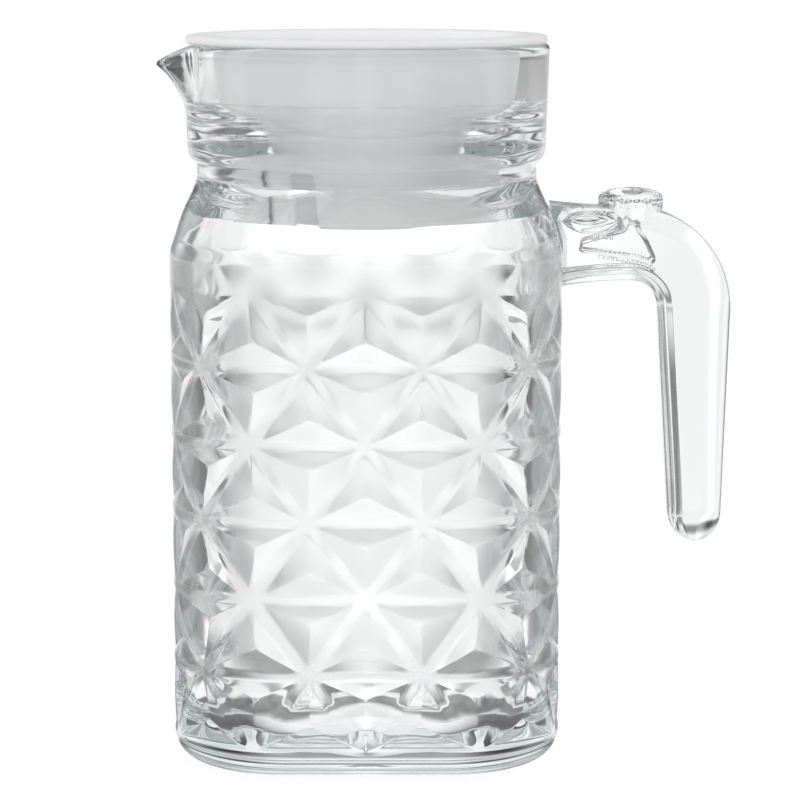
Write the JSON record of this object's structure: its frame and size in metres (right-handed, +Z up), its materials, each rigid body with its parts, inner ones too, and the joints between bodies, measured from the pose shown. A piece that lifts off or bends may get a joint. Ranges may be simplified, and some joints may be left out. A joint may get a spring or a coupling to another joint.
{
  "type": "glass jug with lid",
  "caption": "Square-bodied pressed glass jug with a triangle lattice, a round collar with a pouring lip, a hanging open-ended handle and a push-in lid that lifts out.",
  "frame": {"origin": "centre of the base, on the surface that the jug stands on", "axes": "+Z up along the axis of the neck and lid; +X towards the handle; -X towards the pouring lip; -Y towards the viewer of the picture"},
  "size_m": [0.1139, 0.0766, 0.1419],
  "materials": {
    "glass": "clear pressed soda-lime glass, fire-polished",
    "milky_plastic": "milky translucent polyethylene, satin"
  },
  "bodies": {
    "jug": {"glass_jug": "glass"},
    "lid": {"lid": "milky_plastic"}
  },
  "joints": [
    {"name": "lid_lift", "type": "slide", "parent": "jug", "child": "lid", "axis": [0, 0, 1], "range_m": [0, 0.045]}
  ]
}
